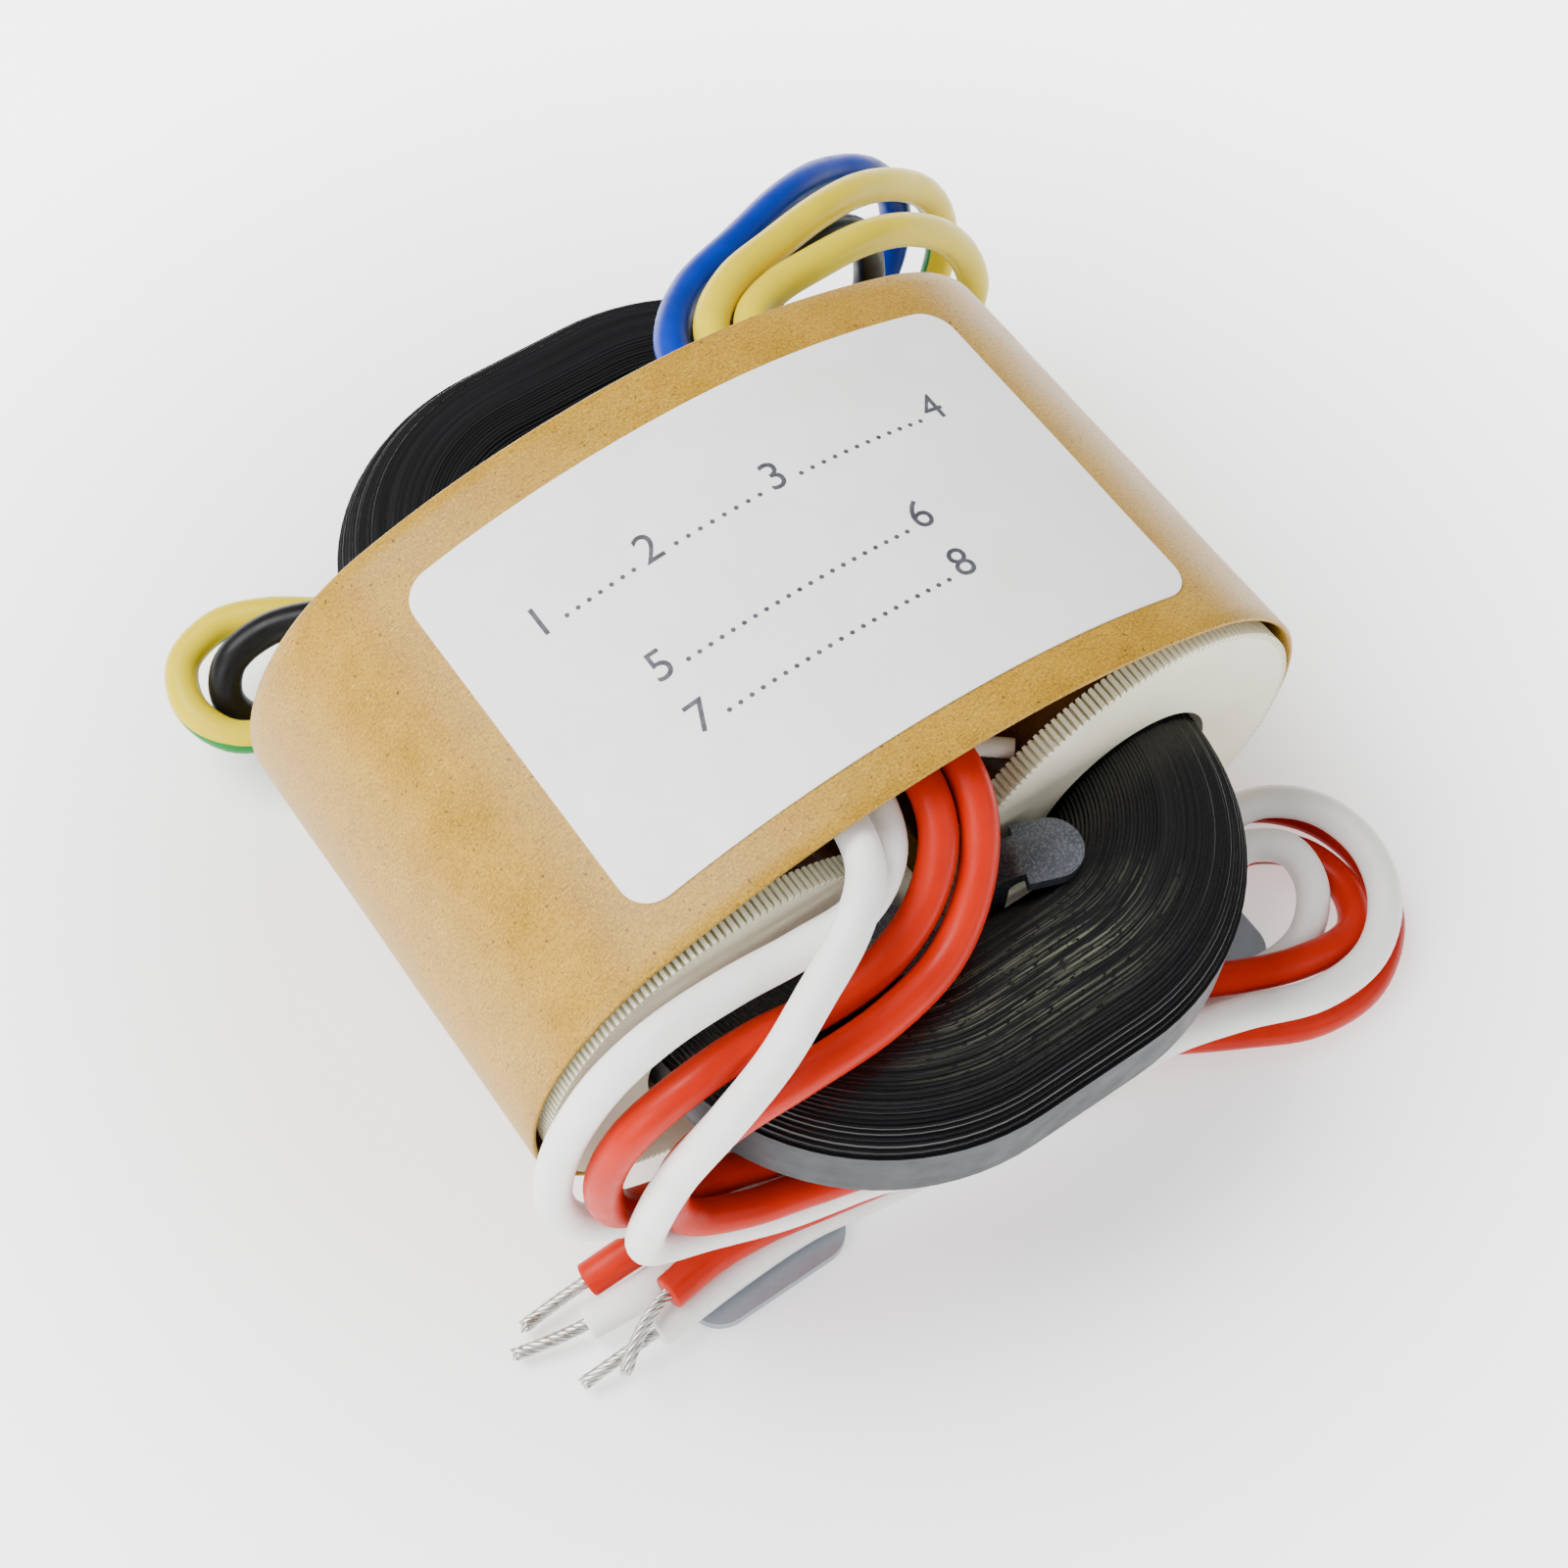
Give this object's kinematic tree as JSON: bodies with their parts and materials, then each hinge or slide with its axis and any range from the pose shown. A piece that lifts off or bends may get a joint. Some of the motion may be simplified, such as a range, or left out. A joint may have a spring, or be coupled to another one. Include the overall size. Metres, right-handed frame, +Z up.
{
  "type": "r-core transformer",
  "caption": "Small mains transformer: a strip-wound ring core with round toothed bobbins on its legs, a kraft paper sleeve round the coils, foot clips for screws, and free insulated leads.",
  "frame": {"origin": "on the floor plane of the feet, under the centre of the core", "axes": "+X across the two coils, -Y towards the secondary leads at the front, +Z up from the feet to the label"},
  "size_m": [0.0784, 0.0757, 0.0397],
  "materials": {
    "core_steel": "glossy black varnish over wound steel strip",
    "bobbin_plastic": "ivory moulded plastic",
    "copper_wire": null,
    "copper_foil": null,
    "film_tape": "brown film tape",
    "kraft_paper": "golden tan kraft paper with fibre flecks",
    "label_stock": "white coated label",
    "zinc_steel": "bright zinc plate",
    "joint_sleeving": "white sleeving",
    "tinned_strands": "tinned copper strands",
    "white_insulation": "smooth PVC",
    "orange_insulation": "smooth PVC",
    "blue_insulation": "smooth PVC",
    "yellow_insulation": "smooth PVC",
    "black_insulation": "smooth PVC",
    "yellow_green_insulation": "smooth PVC, yellow with a green stripe"
  },
  "bodies": {
    "root": {"core": "core_steel", "left_bobbin_upper": "bobbin_plastic", "left_bobbin_lower": "bobbin_plastic", "right_bobbin_upper": "bobbin_plastic", "right_bobbin_lower": "bobbin_plastic", "left_primary": "copper_wire", "left_layer_tape": "film_tape", "left_screen": "copper_foil", "left_secondary": "copper_wire", "left_outer_tape": "film_tape", "right_primary": "copper_wire", "right_layer_tape": "film_tape", "right_screen": "copper_foil", "right_secondary": "copper_wire", "right_outer_tape": "film_tape", "paper_sleeve": "kraft_paper", "label": "label_stock", "clip_front_left": "zinc_steel", "clip_front_right": "zinc_steel", "clip_back_left": "zinc_steel", "clip_back_right": "zinc_steel", "white_lead_a": "white_insulation", "white_lead_b": "white_insulation", "orange_lead_a": "orange_insulation", "orange_lead_b": "orange_insulation", "blue_lead": "blue_insulation", "yellow_lead": "yellow_insulation", "black_lead": "black_insulation", "yellow_green_lead": "yellow_green_insulation", "white_tip_a": "tinned_strands", "white_tip_b": "tinned_strands", "orange_tip_a": "tinned_strands", "orange_tip_b": "tinned_strands", "blue_tip": "tinned_strands", "yellow_tip": "tinned_strands", "black_tip": "tinned_strands", "yellow_green_tip": "tinned_strands", "joint_sleeve": "joint_sleeving"}
  },
  "joints": []
}
